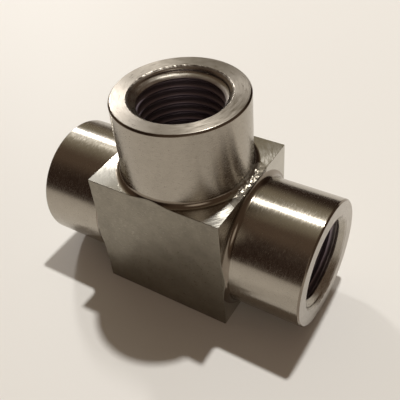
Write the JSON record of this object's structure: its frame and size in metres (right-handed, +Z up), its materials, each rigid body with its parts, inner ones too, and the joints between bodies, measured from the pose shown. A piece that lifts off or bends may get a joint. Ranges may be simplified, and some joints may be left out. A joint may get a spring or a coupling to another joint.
{
  "type": "female threaded tee",
  "caption": "Machined stainless equal tee: square block with three turned round bosses, each with a countersunk female pipe thread.",
  "frame": {"origin": "middle of the block's underside, below the crossing of the run and branch axes", "axes": "+X along the run towards the right port, +Z up the branch, Y through the block's front and back flats, with the front flat at -Y"},
  "size_m": [0.0432, 0.019, 0.0312],
  "materials": {
    "stainless": "turned bosses, ground flats and faced ends"
  },
  "bodies": {
    "root": {"tee_body": "stainless"}
  },
  "joints": []
}
